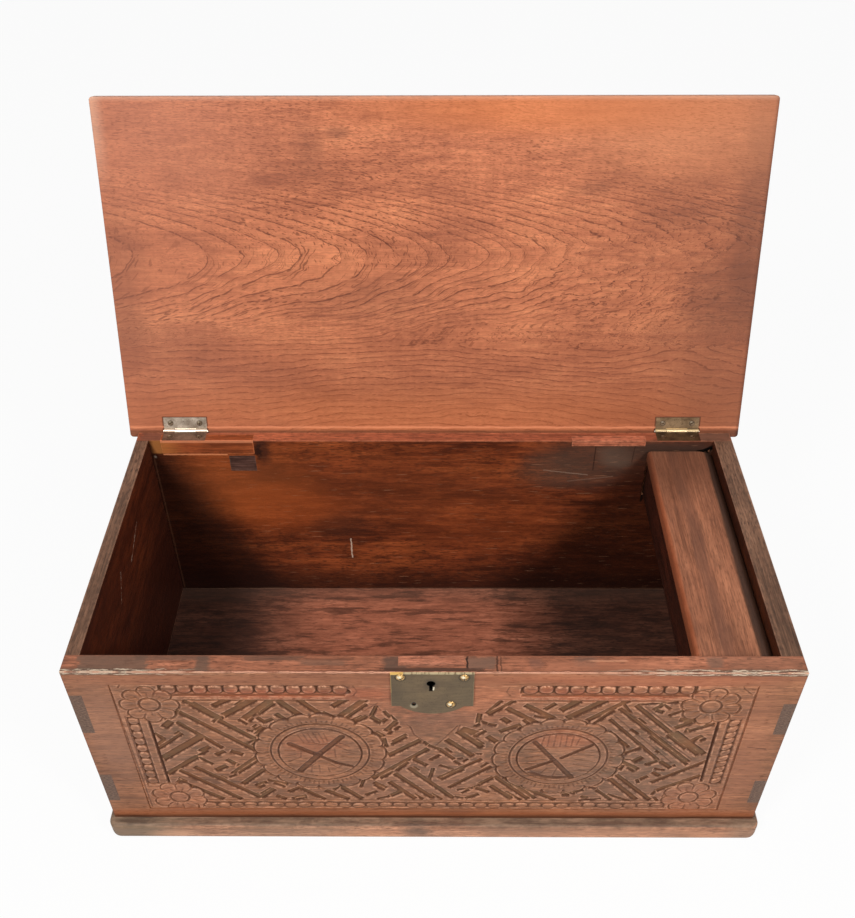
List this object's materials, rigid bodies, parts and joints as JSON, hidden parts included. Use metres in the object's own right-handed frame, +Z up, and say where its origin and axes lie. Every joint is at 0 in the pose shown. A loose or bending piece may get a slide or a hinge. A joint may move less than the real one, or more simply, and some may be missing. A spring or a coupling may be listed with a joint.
{
  "type": "blanket chest",
  "caption": "Small carved wooden chest with a flat hinged lid, a brass lock plate on the front and a lidded till at the right inside.",
  "frame": {"origin": "on the ground under the middle of the four walls, on the base board's underside", "axes": "+X to the chest's right as seen from the front, +Y to the back, +Z up"},
  "size_m": [0.568, 0.3879, 0.5072],
  "materials": {
    "case_wood": "worn oil",
    "lid_wood": "worn oil",
    "base_wood": "worn oil",
    "repair_wood": "worn oil",
    "dark_wood": "dull",
    "plate_brass": "tarnished",
    "hinge_brass": "tarnished",
    "screw_brass": "bright",
    "iron": "dull"
  },
  "bodies": {
    "case": {"base_board": "base_wood", "front_board": "case_wood", "back_board": "case_wood", "left_side": "case_wood", "right_side": "case_wood", "base_nails": "iron", "repair_strip_left": "repair_wood", "repair_strip_right": "repair_wood", "back_patch": "dark_wood", "rim_patch": "repair_wood", "till_side": "case_wood", "till_bottom": "case_wood", "hinge_left_case_leaf": "hinge_brass", "hinge_left_pin": "iron", "hinge_right_case_leaf": "hinge_brass", "hinge_right_pin": "iron", "hinge_case_screws": "screw_brass", "lock_plate": "plate_brass", "lock_case": "plate_brass", "lock_spring": "iron", "lock_screws": "screw_brass"},
    "lid": {"lid_board": "lid_wood", "hinge_left_lid_leaf": "hinge_brass", "hinge_right_lid_leaf": "hinge_brass", "hinge_lid_screws": "screw_brass"},
    "till_cover": {"till_lid": "lid_wood"},
    "bolt": {"lock_bolt": "iron"}
  },
  "joints": [
    {"name": "lid_hinge", "type": "hinge", "parent": "case", "child": "lid", "pos_m": [0, 0.13903, 0.2262], "axis": [-1, 0, 0], "range_deg": [-108, 0]},
    {"name": "till_lid_hinge", "type": "hinge", "parent": "case", "child": "till_cover", "pos_m": [0.2522, 0, 0.21], "axis": [0, 1, 0], "range_deg": [0, 10]},
    {"name": "lock_bolt_slide", "type": "slide", "parent": "case", "child": "bolt", "axis": [1, 0, 0], "range_m": [0, 0.006]}
  ]
}
